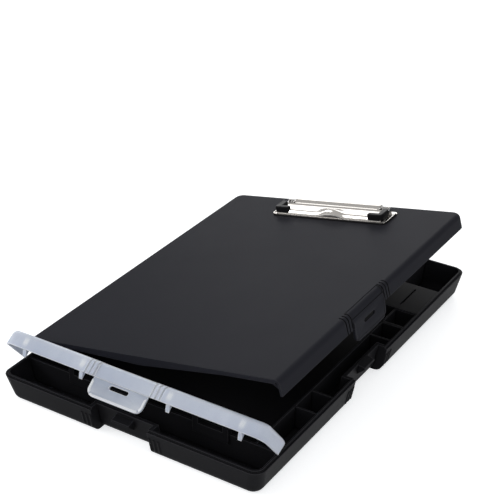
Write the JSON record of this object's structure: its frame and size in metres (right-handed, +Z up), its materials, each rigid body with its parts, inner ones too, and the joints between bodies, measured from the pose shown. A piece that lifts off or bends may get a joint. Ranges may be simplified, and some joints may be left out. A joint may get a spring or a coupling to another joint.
{
  "type": "storage clipboard box",
  "caption": "Shallow storage tray with a hinged clipboard lid, a spring clip and a pen compartment under its own hinged frosted cover, both held by snap latches.",
  "frame": {"origin": "centre of the tray's flat underside, on the surface it rests on", "axes": "+X towards the side with the lid latch, +Y along the length towards the clip end, +Z up"},
  "size_m": [0.2442, 0.3563, 0.0805],
  "materials": {
    "tray_plastic": "fine satin moulded black plastic",
    "lid_plastic": "fine matte grain moulded black plastic",
    "frosted_plastic": "frosted translucent polypropylene",
    "clip_metal": "bright nickel plated steel sheet",
    "grip_plastic": "glossy black moulded plastic",
    "pin_steel": "drawn steel wire"
  },
  "bodies": {
    "tray": {"base_tray": "tray_plastic", "lid_hinge_pin_front": "pin_steel", "lid_hinge_pin_back": "pin_steel", "cover_hinge_pin_left": "pin_steel", "cover_hinge_pin_right": "pin_steel"},
    "lid": {"lid_shell": "lid_plastic", "clip_base_plate": "clip_metal", "clip_pivot_pin": "pin_steel", "clip_rivets": "clip_metal", "clip_washers": "pin_steel", "clip_spring_left": "pin_steel", "clip_spring_right": "pin_steel"},
    "lid_tab": {"lid_latch": "lid_plastic"},
    "cover": {"pen_cover": "frosted_plastic"},
    "cover_tab": {"cover_latch": "frosted_plastic"},
    "lever": {"clip_lever": "clip_metal", "clip_grip_left": "grip_plastic", "clip_grip_right": "grip_plastic"}
  },
  "joints": [
    {"name": "lid_hinge", "type": "hinge", "parent": "tray", "child": "lid", "pos_m": [-0.1207, 0, 0.02345], "axis": [0, -1, 0], "range_deg": [-10.7, 159.3]},
    {"name": "cover_hinge", "type": "hinge", "parent": "tray", "child": "cover", "pos_m": [0, -0.143, 0.0314], "axis": [-1, 0, 0], "range_deg": [-51.5, 36.5]},
    {"name": "lid_latch_flex", "type": "hinge", "parent": "lid", "child": "lid_tab", "pos_m": [0.11491, 0, 0.0756], "axis": [0, -1, 0], "range_deg": [0, 12], "stiffness_Nm_per_rad": 0.4},
    {"name": "cover_latch_flex", "type": "hinge", "parent": "cover", "child": "cover_tab", "pos_m": [0, -0.16926, 0.0514], "axis": [-1, 0, 0], "range_deg": [0, 12], "stiffness_Nm_per_rad": 0.3},
    {"name": "clip_lever_hinge", "type": "hinge", "parent": "lid", "child": "lever", "pos_m": [-0.00044, 0.1545, 0.06403], "axis": [-0.9826, 0, -0.1857], "range_deg": [0, 22], "stiffness_Nm_per_rad": 0.6, "springref_deg": -20.05, "deforming": ["clip_spring_left", "clip_spring_right"]}
  ]
}
